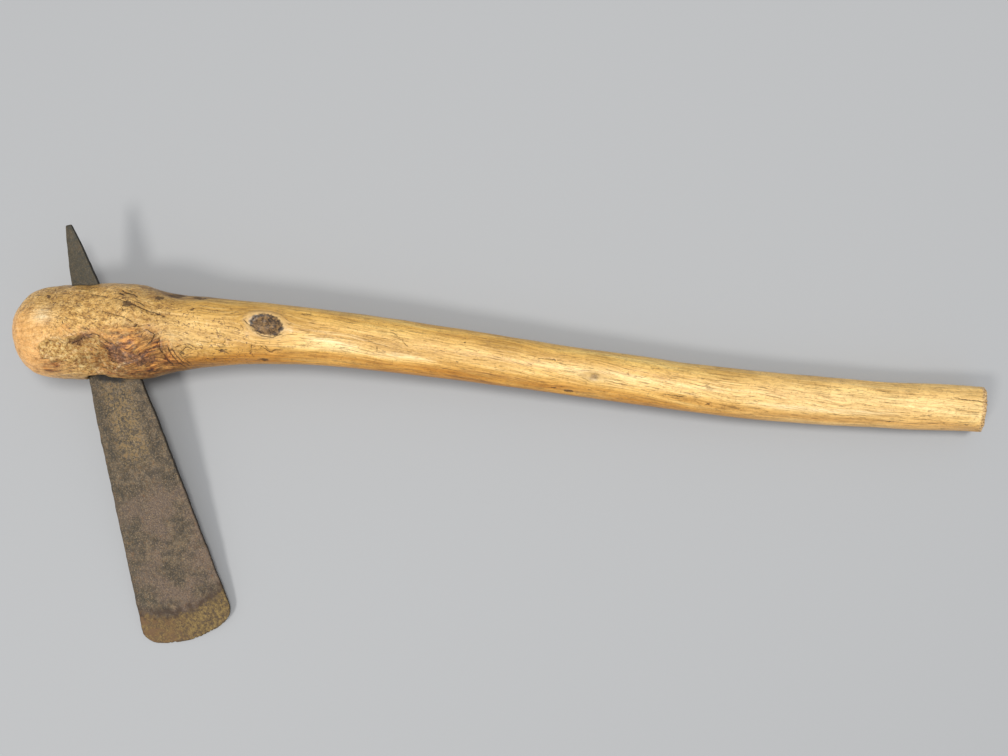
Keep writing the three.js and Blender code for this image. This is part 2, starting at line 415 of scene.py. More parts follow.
# Small dark spots on the upper side: plan place, and reach along and across the grain.
SPOTS = [
    (69.8, 16.4, 2.6, 2.0), (84.5, 21.8, 2.8, 1.2), (91.0, 24.0, 6.0, 1.2), (104.0, 23.6, 5.0, 1.0),
    (104.4, 16.6, 0.8, 1.1), (100.6, -8.6, 1.2, 1.4), (121.6, -5.6, 1.1, 1.0), (143.6, -8.8, 3.2, 0.7),
    (311.4, 4.5, 1.7, 0.9), (322.0, -13.4, 3.6, 2.0), (313.0, -12.0, 2.0, 0.8), (512.8, -16.4, 3.2, 0.8),
    (259.0, 12.6, 0.6, 0.7), (259.0, 10.7, 0.6, 0.7), (256.0, -1.0, 1.1, 0.5), (404.0, -14.2, 1.2, 0.7),
    (168.0, 19.4, 5.0, 0.8), (545.0, -14.7, 0.8, 0.6), (37.5, 2.4, 0.9, 0.7), (24.0, 17.0, 1.2, 1.0),
]

# Pale torn edges of the hollow: width, height of the ridge, and the path in plan.
TORN_EDGES = [
    (1.2, 0.5, [(30, -6.4), (34.5, -5.4), (39.5, -8.4)]),
    (0.9, 0.5, [(26.5, -15.2), (30, -17.2), (34.5, -15.6)]),
    (0.9, 0.6, [(50, -20.8), (52.8, -23.4), (55.6, -21.4)]),
    (0.9, 0.5, [(56.5, -16.5), (58.6, -19.6)]),
    (0.9, 0.6, [(61, -23), (65, -19.8), (70.5, -16.8)]),
    (0.8, 0.5, [(58, -20.6), (63.5, -18)]),
]


# Painted highlights along the grip, as pale streaks: width, and the path in plan.
PAINTED_HIGHLIGHT_STREAKS = [
    (1.6, [(204, -0.6), (226, -0.5), (246, -2.6)]),
    (1.3, [(256, -6.0), (276, -8.2), (300, -9.8)]),
    (1.5, [(420, -12.4), (470, -12.6), (522, -11.6)]),
    (1.2, [(166, 6.0), (184, 4.6), (202, 2.8)]),
]


def distance_to_path(points, path):
    """Signed plan distance from each point to a path, and the point's share of its length, 0 to 1."""
    best = np.full(points.shape[:-1], 1e9)
    share = np.zeros(points.shape[:-1])
    side = np.zeros(points.shape[:-1])
    legs = len(path) - 1
    for k in range(legs):
        start, end = np.array(path[k], float), np.array(path[k + 1], float)
        leg = end - start
        gap = points[..., :2] - start
        along = np.clip((gap @ leg) / (leg @ leg), 0, 1)
        away = np.linalg.norm(gap - along[..., None] * leg, axis=-1)
        share = np.where(away < best, (k + along) / legs, share)
        side = np.where(away < best, np.sign(leg[0] * gap[..., 1] - leg[1] * gap[..., 0]), side)
        best = np.minimum(best, away)
    return side * best, share


def near(points, centre, along, across):
    """1 at a centre, falling smoothly to 0 about the given distances along and across the haft."""
    gap = points - centre
    side = np.linalg.norm(gap[..., 1:], axis=-1)
    return np.exp(-((gap[..., 0] / along) ** 2) - (side / across) ** 2)


def upper_side(points):
    """1 on the haft's upper side, 0 on its lower, which the marks don't reach."""
    _, z, _, half_height = spine(points[..., 0])
    return ease(0.0, 0.25, (points[..., 2] - z) / half_height)


def turn_of(points):
    """The angle round the spine, from +Y over the top, and the distance from the spine."""
    y, z, breadth, half_height = spine(points[..., 0])
    across = points[..., 1] - y
    up = (points[..., 2] - z) * breadth / half_height
    return np.arctan2(up, across), np.hypot(across, up)


def grain_coordinates(points):
    """Millimetres along the fibres and across them, with the fibres flowing round the two knots."""
    turn, radius = turn_of(points)
    _, _, breadth, _ = spine(points[..., 0])
    for centre, size in ((KNOT, KNOT_RADIUS), (SMALL_KNOT, SMALL_KNOT_RADIUS)):
        knot_turn, _ = turn_of(centre)
        arc = (turn - knot_turn) * breadth
        away = np.hypot(0.7 * (points[..., 0] - centre[0]), arc)
        push = 1 - 0.9 * size**2 / np.maximum(away, size) ** 2
        turn = knot_turn + (turn - knot_turn) * push
    knob = ease(125, 70, points[..., 0]) * ease(0, 50, points[..., 0])
    drift = fractal(points / 24.0, 5, 2)
    turn = turn - 0.0032 * points[..., 0] + (0.05 + 0.26 * knob) * drift
    wide = 15.0 * (np.maximum(breadth, 6.0) / 15.0) ** 0.4
    depth = np.clip(radius / np.maximum(breadth, 1.0), 0, 1.3)
    along = points[..., 0] + 9.0 * knob * fractal(points / 16.0 + 7.1, 8, 2)
    return np.stack([along, wide * depth * np.cos(turn), wide * depth * np.sin(turn)], -1)


# ---------------------------------------------------------------- the haft's relief


def haft_relief(points):
    """How far the worn wood stands out from its plain skin, in millimetres."""
    grain = grain_coordinates(points)
    knob = ease(125, 92, points[..., 0])
    carved = 0.32 * fractal(points / np.array([30, 11, 11]), 3, 2)
    carved += knob * 0.60 * fractal(points / 14.0, 11, 3)
    facets = (1 - knob) * 0.40 * (0.5 - np.abs(fractal(grain / np.array([85, 8, 8]), 15, 1)))
    furrows = (0.10 - 0.06 * knob) * fractal(grain * np.array([0.05, 0.55, 0.55]), 21, 3, 0.6)
    return carved + facets + furrows + damage_relief(points)


def damage_relief(points):
    """Cracks, knots, hollows and torn wood, apart from the wood's even unevenness."""
    rough = hollow_relief(points) + knot_relief(points) + shoulder_relief(points) + fray_relief(points)
    return rough + upper_side(points) * groove_relief(points) + butt_relief(points)


def wander(points, size, amount):
    """Points pushed a little sideways, so a straight path reads as a natural one."""
    shift = [fractal(points / size, seed, 2) for seed in (31, 37)]
    return points + amount * np.stack([*shift, np.zeros(points.shape[:-1])], -1)


def groove_relief(points):
    """Cracks and torn edges, each wandering a little and closing at its two ends."""
    rise = np.zeros(points.shape[:-1])
    loose = wander(points, 4.0, 0.55)
    for sign, marks in ((-1, CRACKS), (1, TORN_EDGES)):
        for width, depth, path in marks:
            away, share = distance_to_path(loose, path)
            taper = np.sqrt(np.clip(4 * share * (1 - share), 0, 1))
            rise += sign * depth * taper * np.exp(-((away / (0.5 * width + 0.3)) ** 2))
    for x, y, along, across in SPOTS:
        gap = np.hypot((points[..., 0] - x) / along, (points[..., 1] - y) / across)
        rise -= 0.35 * np.exp(-(gap**2) * 1.6)
    return rise


def crack_channels():
    """Shares the cracks among three channels, so that those in one channel lie well apart."""
    channels = [[], [], []]
    for crack in CRACKS:
        path = np.array(crack[2], float)
        at = np.linspace(0, len(path) - 1, 40)
        line = np.stack([np.interp(at, np.arange(len(path)), path[:, k]) for k in range(2)], -1)

        def room(channel):
            return min((np.abs(distance_to_path(line, other[2])[0]).min() for other in channel), default=99.0)

        max(channels, key=room).append(crack)
    return channels


def crack_lines(points):
    """Signed distances to the cracks and how much they count, in three channels so neighbours don't mix."""
    sides = np.full(points.shape[:-1] + (3,), 9.0)
    weights = np.zeros(sides.shape)
    for k, cracks in enumerate(crack_channels()):
        for _, depth, path in cracks:
            away, share = distance_to_path(points, path)
            closer = np.abs(away) < np.abs(sides[..., k])
            weight = ease(2.2, 1.2, np.abs(away)) * ease(0, 0.10, share) * ease(1, 0.90, share)
            weight *= min(1.0, 0.35 + depth)
            sides[..., k] = np.where(closer, away, sides[..., k])
            weights[..., k] = np.where(closer, weight, weights[..., k])
    return sides, weights


def torn_share(points):
    """1 along the pale torn edges, 0 a millimetre or so away from them."""
    share = np.zeros(points.shape[:-1])
    for width, _, path in TORN_EDGES:
        away, _ = distance_to_path(wander(points, 4.0, 0.55), path)
        share = np.maximum(share, np.exp(-((away / (0.55 * width)) ** 2)))
    return share * upper_side(points)


def spot_share(points):
    """1 in the middle of the knob's small dark spots."""
    share = np.zeros(points.shape[:-1])
    loose = wander(points, 2.5, 0.6)
    for x, y, along, across in SPOTS:
        gap = np.hypot((loose[..., 0] - x) / along, (loose[..., 1] - y) / across)
        share = np.maximum(share, ease(1.2, 0.4, gap) * (x <= KNOB_END))
    return share


def hollow_share(points):
    """1 inside the crumbly hollow and its small crater by the nose, 0 outside."""
    warped = points + 2.8 * np.stack([fractal(points / 7.0, s, 2) for s in (41, 43, 47)], -1)
    main = near(warped, HOLLOW, 16.5, 12.0)
    crater = near(warped, CRATER, 8.5, 8.5)
    return np.maximum(ease(0.34, 0.50, main), 0.75 * ease(0.34, 0.60, crater))


def hollow_relief(points):
    """The crumbly hollow beside the slot: a broken rim round pitted, spongy wood."""
    share = hollow_share(points)
    crumbs = fractal(points / 3.0, 53, 3, 0.7)
    holes = ease(0.25, 0.85, fractal(points / 2.2, 57, 2))
    ring = np.linalg.norm(points - CRATER, axis=-1)
    groove = 0.8 * np.exp(-(((ring - 4.6) / 1.3) ** 2)) * near(points, CRATER, 12, 12)
    return share * (-1.1 + 0.65 * crumbs - 0.9 * holes) - groove


def knot_relief(points):
    """Two branch knots, sunken and cracked, with a swollen collar round the larger."""
    rise = np.zeros(points.shape[:-1])
    for centre, size in ((KNOT, KNOT_RADIUS), (SMALL_KNOT, SMALL_KNOT_RADIUS)):
        gap = points - centre
        away = np.hypot(gap[..., 0] / 1.15, 1.35 * np.linalg.norm(gap[..., 1:], axis=-1)) / size
        away += 0.14 * fractal(points / (0.6 * size), 61, 2)
        rise += 0.07 * size * np.exp(-(((away - 1.30) / 0.30) ** 2))
        rise += 0.26 * fractal(points / 1.8, 63, 2) * ease(1.1, 0.9, away)
        rise -= 0.09 * size * ease(1.15, 0.85, away)
    return rise


def shoulder_relief(points):
    """Wrinkled fibres curving over the shoulder, and a dimpled patch behind them."""
    bend = np.hypot(points[..., 0] - FOLD_CENTRE[0], 0.9 * (points[..., 1] - FOLD_CENTRE[1]))
    folds = np.sin((bend + 0.9 * fractal(points / 7.0, 71, 2)) * 2 * math.pi / FOLD_STEP)
    band = np.exp(-(((bend - FOLD_RADIUS) / 5.0) ** 2)) * ease(3.0, -8.0, points[..., 1]) * upper_side(points)
    band *= ease(114, 104, points[..., 0])
    pits = ease(0.30, 0.75, fractal(points / np.array([2.6, 1.9, 1.9]), 73, 2))
    patch = near(points, DIMPLES, 19.0, 14.0)
    return 0.24 * band * folds - 0.7 * patch * pits


def fray_relief(points):
    """Torn fibres and a ragged notch along the slot's lower mouth."""
    grain = grain_coordinates(points)
    fibres = fractal(grain * np.array([0.10, 0.95, 0.95]), 81, 3, 0.6)
    torn = near(points, FRAY, 20.0, 9.0) + 0.8 * near(points, STAIN, 9.0, 8.0)
    torn = np.clip(torn + 0.9 * near(points, DARK_STAIN, 13.0, 8.0), 0, 1)
    return torn * (0.95 * fibres - 0.35) - NOTCH_DEPTH * notch_share(points)


def notch_share(points):
    """1 inside the notch where the slot's lower mouth gapes above the blade; the wood's colour paints it near
    black as painted shade.
    """
    loose = points + 1.0 * fractal(points / 3.0, 83, 2)[..., None]
    return ease(0.25, 0.55, near(loose, NOTCH, 9.5, 5.6))


def butt_reach(points):
    """Each point's place along the haft, with the butt's lean taken out: one value all over its sawn face."""
    return points[..., 0] + BUTT_LEAN * (points[..., 2] - BUTT_MIDDLE)


def butt_share(points):
    """1 on the butt's sawn face, 0 on the grip's sides."""
    return ease(HAFT_LENGTH - 7.5, HAFT_LENGTH - 6.0, butt_reach(points))


def butt_relief(points):
    """Saw ridges and small bruises on the butt's face and rim."""
    end = ease(HAFT_LENGTH - 11.5, HAFT_LENGTH - 6.5, butt_reach(points))
    tilted = points[..., 1] * 0.93 + points[..., 2] * 0.37
    saw = 0.10 * np.sin(tilted * 2 * math.pi / 1.7 + 2.0 * fractal(points / 5.0, 91, 2))
    bruises = 0.22 * fractal(points / 1.7, 97, 2)
    return end * (saw + bruises)


def build_skin_mesh(name, points, poles, faces):
    """An object from a grid of plan points and the two poles that close it."""
    mesh = bpy.data.meshes.new(name)
    vertices = np.concatenate([points.reshape(-1, 3), poles])
    mesh.from_pydata(from_plan(vertices).tolist(), [], faces)
    mesh.validate()
    skin = bpy.data.objects.new(name, mesh)
    link(skin)
    return skin


def build_haft():
    """The fine haft: the measured skin with its relief, cut by its slot."""
    origins, ways, radii = measure_skin()
    plain = origins + radii[..., None] * ways
    points = plain + haft_relief(plain)[..., None] * grid_normals(plain)
    points[..., 2] = np.maximum(points[..., 2], 0.0)
    poles = np.array([points[0].mean(0), points[-1].mean(0)])
    haft = build_skin_mesh("haft_wood", points, poles, grid_faces(*points.shape[:2]))
    set_attribute(haft, "plain", np.concatenate([plain.reshape(-1, 3), poles]))
    cut_slot(haft)
    finish_shading(haft, 50)
    return haft


def plain_points(haft):
    """Each vertex's place before its relief, or its own place where the slot's cut made it."""
    points = mesh_points(haft)
    plain = np.empty(points.size)
    haft.data.attributes["plain"].data.foreach_get("vector", plain)
    plain = plain.reshape(-1, 3)
    kept = np.linalg.norm(plain - points, axis=-1) < RELIEF_LIMIT
    haft.data.attributes.remove(haft.data.attributes["plain"])
    return np.where(kept[:, None], plain, points)


def set_attribute(obj, name, values):
    """Stores a number or a vector on each vertex for the material to read."""
    values = np.asarray(values, np.float32)
    kind = "FLOAT" if values.ndim == 1 else "FLOAT_VECTOR"
    layer = obj.data.attributes.new(name, kind, "POINT")
    layer.data.foreach_set("value" if values.ndim == 1 else "vector", values.ravel())


@contextlib.contextmanager
def edited(mesh):
    """The mesh opened for bmesh's tools, and written back afterwards."""
    solid = bmesh.new()
    solid.from_mesh(mesh)
    yield solid
    solid.to_mesh(mesh)
    solid.free()


def finish_shading(obj, sharp_degrees):
    """Smooth shading, apart from edges sharper than the angle."""
    obj.data.polygons.foreach_set("use_smooth", [True] * len(obj.data.polygons))
    obj.data.set_sharp_from_angle(angle=math.radians(sharp_degrees))


# ---------------------------------------------------------------- the blade's own frame


def blade_axes():
    """The blade's middle, and its directions along to the edge, across to the grip, and up."""
    points = node_points("blade")
    middle = points.mean(0)
    _, directions = np.linalg.eigh(np.cov((points - middle).T))
    up, across, along = directions.T
    along *= -np.sign(along[1])
    across *= np.sign(across[0])
    up *= np.sign(up[2])
    start = ((points - middle) @ along).min()
    return middle + start * along, along, across, up


BLADE_START, BLADE_ALONG, BLADE_ACROSS, BLADE_UP = blade_axes()
BLADE_TURN = np.stack([BLADE_ALONG, BLADE_ACROSS, BLADE_UP], -1)


def to_blade(points):
    """Plan points as distance from the tang's tip, distance across, and height over the middle plane."""
    return (points - BLADE_START) @ BLADE_TURN


def from_blade(points):
    """The blade's own coordinates as plan points."""
    return points @ BLADE_TURN.T + BLADE_START


BLADE_LENGTH = to_blade(node_points("blade"))[:, 0].max()


def cut_slot(haft):
    """Cuts the slot with the blade's own solid, grown to clear it and gaping at the lower mouth."""
    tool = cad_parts["blade"].copy()
    tool.data = tool.data.copy()
    tool.parent = None
    link(tool)
    with edited(tool.data) as solid:
        bmesh.ops.remove_doubles(solid, verts=solid.verts, dist=1e-6)
        bmesh.ops.subdivide_edges(solid, edges=solid.edges, cuts=2, use_grid_fill=True)
    local = to_blade(mesh_points(tool))
    gape = SLOT_GAPE * ease(72, 92, local[:, 0]) * ease(14, -2, local[:, 1]) * ease(-19, -10, local[:, 1])
    ragged = 0.5 * fractal(local / 3.0, 101, 2) * ease(70, 90, local[:, 0])
    local[:, 1] += SLOT_CLEARANCE * np.sign(local[:, 1])
    lifted = SLOT_CLEARANCE + gape + np.maximum(ragged, -0.1)
    local[:, 2] += np.where(local[:, 2] > 0, lifted, -SLOT_CLEARANCE)
    placed = from_plan(from_blade(local)).astype(np.float32)
    tool.data.vertices.foreach_set("co", placed.ravel())
    cut = haft.modifiers.new("slot", "BOOLEAN")
    cut.object = tool
    cut.operation = "DIFFERENCE"
    cut.solver = "EXACT"
    settled = haft.evaluated_get(bpy.context.evaluated_depsgraph_get())
    carved = bpy.data.meshes.new_from_object(settled)
    with edited(carved) as solid:
        bmesh.ops.remove_doubles(solid, verts=solid.verts, dist=1e-5)
    haft.modifiers.clear()
    haft.data = carved
    bpy.data.objects.remove(tool)


# ---------------------------------------------------------------- the blade's skin


def blade_outline():
    """The blade's outline in its own plane, going round from the tang's tip down the grip side."""
    flat = to_blade(node_points("blade"))[:, :2]
    ring = flat[convex_hull_2d([Vector(p) for p in flat])]
    area = np.sum(ring[:, 0] * np.roll(ring[:, 1], -1) - ring[:, 1] * np.roll(ring[:, 0], -1))
    ring = ring if area < 0 else ring[::-1]
    first = np.argmin(ring[:, 0] + 0.01 * np.abs(ring[:, 1]))
    return np.roll(ring, -first, axis=0)


def along_outline(ring, start, end, count):
    """Even points on the outline from one corner to another, the way the ring goes."""
    closed = np.concatenate([ring, ring])
    i = int(np.argmin(np.linalg.norm(ring - start, axis=1)))
    j = int(np.argmin(np.linalg.norm(ring - end, axis=1)))
    j = j if j > i else j + len(ring)
    piece = closed[i : j + 1]
    run = np.concatenate([[0], np.cumsum(np.linalg.norm(np.diff(piece, axis=0), axis=1))])
    at = np.linspace(0, run[-1], count)
    return np.stack([np.interp(at, run, piece[:, k]) for k in range(2)], -1)


def blade_grid_size():
    coarse = 1
    return BLADE_ROWS // coarse, BLADE_COLUMNS // coarse


def blade_plan_grid(rows, columns):
    """A grid over the outline: rows from the tang to the edge, columns from the nose side to the grip side."""
    ring = blade_outline()
    nose_corner = ring[np.argmax(ring[:, 0] - ring[:, 1])]
    grip_corner = ring[np.argmax(ring[:, 0] + ring[:, 1])]
    tip_nose = ring[np.argmin(ring[:, 0] + 0.4 * ring[:, 1])]
    tip_grip = ring[np.argmin(ring[:, 0] - 0.4 * ring[:, 1])]
    grip_side = along_outline(ring, tip_grip, grip_corner, rows)
    nose_side = along_outline(ring[::-1], tip_nose, nose_corner, rows)
    tip = np.linspace(tip_nose, tip_grip, columns)
    edge = along_outline(ring[::-1], nose_corner, grip_corner, columns)
    s = np.linspace(0, 1, rows)[:, None, None]
    t = np.linspace(0, 1, columns)[None, :, None]
    across = (1 - t) * nose_side[:, None] + t * grip_side[:, None]
    down = (1 - s) * tip[None] + s * edge[None]
    corners = (1 - s) * ((1 - t) * tip[0] + t * tip[-1]) + s * ((1 - t) * edge[0] + t * edge[-1])
    return across + down - corners


def blade_faces_at(plan):
    """Heights of the blade's upper and lower faces over its middle plane, from rays through it."""
    heights = np.zeros(plan.shape[:2] + (2,))
    middle = plan.mean((0, 1))
    for i, j in itertools.product(*map(range, plan.shape[:2])):
        inner = plan[i, j] + (middle - plan[i, j]) * 0.004
        for k, side in enumerate((1, -1)):
            start = from_blade(np.array([inner[0], inner[1], 30.0 * side]))
            hit = reach(BLADE_TREE, start, -side * BLADE_UP)
            heights[i, j, k] = np.nan if hit is None else to_blade(hit)[2]
    for k in range(2):
        layer = heights[..., k]
        for column in layer.T:
            known = ~np.isnan(column)
            column[~known] = np.interp(np.flatnonzero(~known), np.flatnonzero(known), column[known])
        heights[..., k] = blur_rows(blur_rows(layer, 2.5).T, 1.2).T
    return heights


def forge_relief(local):
    """Hammer undulation, scale and rust pits on the blade's faces, in millimetres outward."""
    dents = 0.16 * fractal(local / np.array([17, 13, 30]), 111, 2)
    scale = 0.05 * fractal(local / 3.0, 113, 3, 0.6)
    pits = ease(0.42, 0.75, fractal(local / 1.9, 117, 2)) * ease(-0.2, 0.4, fractal(local / 14.0, 119, 2))
    thin = ease(BLADE_LENGTH, BLADE_LENGTH - 12, local[..., 0])
    return (dents + scale - 0.16 * pits) * (0.3 + 0.7 * thin)


def build_blade():
    """The fine blade: upper and lower skins over one grid, joined by a rounded side."""
    plan = blade_plan_grid(*blade_grid_size())
    heights = blade_faces_at(plan)
    plan = nick_outline(plan)
    sheets = []
    for k, side in enumerate((1, -1)):
        local = np.concatenate([plan, heights[..., k : k + 1]], -1)
        local[..., 2] += side * forge_relief(local + SHEET_SHIFT * k)
        sheets.append(local)
    upper, lower = round_sides(*sheets)
    return weld_blade(upper, lower)


def nick_outline(plan):
    """A slightly uneven outline, with small nicks along the cutting edge."""
    rows, columns = plan.shape[:2]
    s = np.linspace(0, 1, rows)[:, None]
    t = np.linspace(-1, 1, columns)[None, :]
    solid = np.concatenate([plan, np.zeros(plan.shape[:2] + (1,))], -1)
    sides = 0.22 * fractal(solid / 6.0, 121, 3) * np.abs(t) ** 6 * np.sign(t)
    bites = ease(0.25, 0.7, fractal(solid / np.array([9.0, 2.3, 1.0]), 127, 2))
    wear = (0.35 * fractal(solid / np.array([40.0, 5.0, 1.0]), 131, 3) - 0.55 * bites) * ease(0.975, 1.0, s)
    nicked = plan.copy()
    nicked[..., 0] += wear
    nicked[..., 1] += sides
    return nicked


def round_sides(upper, lower):
    """Pulls the two skins together over the last millimetre at the outline, for a soft arris."""
    rows, columns = upper.shape[:2]
    rim = np.zeros((rows, columns), bool)
    rim[[0, -1], :] = True
    rim[:, [0, -1]] = True
    middle = (upper[..., 2] + lower[..., 2]) / 2
    half = (upper[..., 2] - lower[..., 2]) / 2
    pulled = np.where(rim, np.maximum(half - BLADE_ARRIS, 0.12 * half), half)
    upper[..., 2] = middle + pulled
    lower[..., 2] = middle - pulled
    return upper, lower


def weld_blade(upper, lower):
    """One closed mesh of the two sheets and the narrow side faces between their outlines."""
    rows, columns = upper.shape[:2]
    grid = np.arange(rows * columns).reshape(rows, columns)
    below = grid + rows * columns
    faces = []
    for i, j in itertools.product(range(rows - 1), range(columns - 1)):
        faces.append((grid[i, j], grid[i + 1, j], grid[i + 1, j + 1], grid[i, j + 1]))
        faces.append((below[i, j], below[i, j + 1], below[i + 1, j + 1], below[i + 1, j]))
    ring = [*grid[:, 0], *grid[-1, 1:], *grid[-2::-1, -1], *grid[0, -2:0:-1]]
    for a, b in zip(ring, ring[1:] + ring[:1]):
        faces.append((a, a + rows * columns, b + rows * columns, b))
    vertices = np.concatenate([upper.reshape(-1, 3), lower.reshape(-1, 3)])
    mesh = bpy.data.meshes.new("blade_iron")
    mesh.from_pydata(from_plan(from_blade(vertices)).tolist(), [], [tuple(map(int, f)) for f in faces])
    mesh.validate()
    blade = bpy.data.objects.new("blade_iron", mesh)
    link(blade)
    with edited(mesh) as solid:
        bmesh.ops.recalc_face_normals(solid, faces=solid.faces)
    finish_shading(blade, 60)
    return blade


# ---------------------------------------------------------------- material graphs


class Graph:
    """A material's nodes, built by short calls that take numbers, colours or other nodes' outputs."""

    def __init__(self, name):
        self.material = bpy.data.materials.new(name)
        self.material.use_nodes = True
        self.tree = self.material.node_tree
        self.tree.nodes.clear()
        self.shader = self.node("BsdfPrincipled")
        output = self.node("OutputMaterial")
        self.tree.links.new(self.shader.outputs[0], output.inputs["Surface"])
        self.colour = None

    def node(self, kind, inputs=None, **settings):
        """A new node: its settings are made first, then its inputs are fed by name or number."""
        node = self.tree.nodes.new("ShaderNode" + kind)
        for name, value in settings.items():
            setattr(node, name, value)
        for socket, value in (inputs or {}).items():
            self.feed(node.inputs[socket], value)
        return node

    def feed(self, socket, value):
        if isinstance(value, bpy.types.NodeSocket):
            self.tree.links.new(value, socket)
        elif value is not None:
            socket.default_value = value

    def shader_inputs(self, values):
        for name, value in values.items():
            self.feed(self.shader.inputs[name], value)

    def attribute(self, name):
        return self.node("Attribute", attribute_name=name).outputs["Vector"]

    def number(self, name):
        return self.node("Attribute", attribute_name=name).outputs["Fac"]

    def math(self, operation, a, b=None, clamp=False):
        return self.node("Math", {0: a, 1: b}, operation=operation, use_clamp=clamp).outputs[0]

    def add(self, a, b):
        return self.math("ADD", a, b)

    def times(self, a, b):
        return self.math("MULTIPLY", a, b)

    def larger(self, a, b):
        return self.math("MAXIMUM", a, b)

    def centred(self, noise, amount):
        """A noise moved to lie evenly about 0, and scaled."""
        return self.times(self.math("SUBTRACT", noise, 0.5), amount)

    def vector(self, operation, a, b=None):
        outputs = self.node("VectorMath", {0: a, 1: b}, operation=operation).outputs
        return outputs["Value" if operation in ("LENGTH", "DOT_PRODUCT") else "Vector"]

    def split(self, vector):
        return self.node("SeparateXYZ", {0: vector}).outputs

    def noise(self, vector, scale, detail=3.0, roughness=0.5):
        """Noise from 0 to 1. The scale may differ along each axis of the vector."""
        node = self.node("TexNoise", {"Detail": detail, "Roughness": roughness})
        even = not isinstance(scale, tuple)
        self.feed(node.inputs["Vector"], vector if even else self.vector("MULTIPLY", vector, scale))
        self.feed(node.inputs["Scale"], scale if even else 1.0)
        return node.outputs["Fac"]

    def between(self, value, low, high, start=0.0, end=1.0):
        """The value's place from low to high, smooth, as a number from start to end."""
        inputs = dict(enumerate((value, low, high, start, end)))
        return self.node("MapRange", inputs, interpolation_type="SMOOTHSTEP").outputs[0]

    def ragged(self, mask, noise, amount):
        """A soft mask given a crisp, broken border by a noise."""
        return self.between(self.add(mask, self.centred(noise, amount)), 0.40, 0.60)

    def mix(self, share, a, b, blend="MIX"):
        settings = {"data_type": "RGBA", "blend_type": blend, "clamp_factor": True}
        return self.node("Mix", {0: share, 6: a, 7: b}, **settings).outputs[2]

    def paint(self, share, *over):
        """Lays a colour over the material's: another node's, or red, green and blue screen values."""
        self.colour = self.mix(share, self.colour, over[0] if len(over) == 1 else tone(*over))

    def glaze(self, share, over):
        """Multiplies the material's colour by another."""
        self.paint(share, self.mix(1.0, self.colour, over, "MULTIPLY"))

    def ramp(self, value, *stops):
        """Colours along a value. Each stop is a place from 0 to 1 and three screen values."""
        node = self.node("ValToRGB", {0: value})
        elements = node.color_ramp.elements
        while len(elements) < len(stops):
            elements.new(0.5)
        for element, (place, *colour) in zip(elements, stops):
            element.position = place
            element.color = tone(*colour)
        return node.outputs[0]

    def bump(self, height, distance, strength):
        inputs = {"Strength": strength, "Distance": distance, "Height": height}
        return self.node("Bump", inputs).outputs[0]


def tone(red, green, blue):
    """A colour given as 0 to 255 screen values, for a shader socket."""
    parts = [c / 255 for c in (red, green, blue)]
    return tuple(c / 12.92 if c < 0.04045 else ((c + 0.055) / 1.055) ** 2.4 for c in parts) + (1.0,)


def crack_mask(g, plan):
    """Thin dark lines where the signed distances to the cracks pass through zero."""
    width = g.between(g.noise(plan, 0.8, 2.0), 0.35, 0.65, 0.12, 0.55)
    jitter = g.centred(g.noise(plan, 0.50, 4.0, 0.7), 1.3)
    total = None
    for side, weight in zip(g.split(g.attribute("crack_side")), g.split(g.attribute("crack_weight"))):
        away = g.math("ABSOLUTE", g.add(side, jitter))
        mask = g.times(g.between(away, 0.04, width, 1.0, 0.0), weight)
        total = mask if total is None else g.larger(total, mask)
    return total


def spot_mask(g, place):
    """The small dark spots of the grip together."""
    total = None
    for x, y, along, across in SPOTS:
        if x > KNOB_END:
            gap = g.vector("SUBTRACT", place, tuple(on_top(x, y)))
            gap = g.vector("MULTIPLY", gap, (1 / along, 1 / across, 1 / across))
            mask = g.between(g.vector("LENGTH", gap), 0.35, 1.1, 1.0, 0.0)
            total = mask if total is None else g.larger(total, mask)
    return total


def loose_place(g, plan, size, amount):
    """The plan place pushed about by a fine noise, so drawn shapes are ragged."""
    jitter = g.node("TexNoise", {"Scale": size, "Detail": 3.0, "Vector": plan})
    centred = g.vector("SUBTRACT", jitter.outputs["Color"], (0.5, 0.5, 0.5))
    return g.vector("ADD", plan, g.vector("MULTIPLY", centred, (amount, amount, 0.0)))


def away_from(g, place, centre, along, across, tilt=0.0):
    """Distance from a plan centre, counted in its reaches along and across the haft. The tilt is in radians."""
    gap = g.vector("SUBTRACT", place, (centre[0], centre[1], 0.0))
    far = g.vector("DOT_PRODUCT", gap, (math.cos(tilt) / along, math.sin(tilt) / along, 0.0))
    wide = g.vector("DOT_PRODUCT", gap, (-math.sin(tilt) / across, math.cos(tilt) / across, 0.0))
    return g.math("SQRT", g.add(g.times(far, far), g.times(wide, wide)))


def paint_knots(g, place, plan, upper):
    """Paints the two branch knots: a mottled heart with a dark broken rim, and a pale collar."""
    fine = g.noise(plan, 0.48, 6.0, 0.78)
    whole_away = away_from(g, place, *KNOT_HEART)
    halo = g.between(whole_away, 1.0, 1.55, 0.70, 0.0)
    g.paint(g.times(halo, upper), 206, 172, 118)
    heart = g.between(whole_away, 0.90, 1.08, 1.0, 0.0)
    haze = g.between(away_from(g, place, SMALL_KNOT, 11.0, 5.0), 0.2, 1.3, 0.55, 0.0)
    g.paint(g.times(haze, upper), 182, 146, 82)
    small = g.between(away_from(g, place, SMALL_KNOT, 3.6, 3.0), 0.10, 1.15, 0.70, 0.0)
    whole = g.times(g.larger(heart, small), upper)
    g.paint(whole, g.ramp(fine, (0.39, 30, 20, 11), (0.47, 80, 58, 33), (0.57, 138, 107, 66)))
    rim = g.times(g.between(whole_away, 0.72, 0.90), g.between(whole_away, 1.08, 0.96))
    ring_away = away_from(g, place, *KNOT_RING)
    ring = g.times(g.between(ring_away, 0.60, 0.82), g.between(ring_away, 1.12, 0.92))
    drawn = g.times(g.larger(rim, ring), g.between(fine, 0.40, 0.58, 1.0, 0.25))
    g.paint(g.times(g.times(drawn, upper), 0.85), 42, 30, 20)


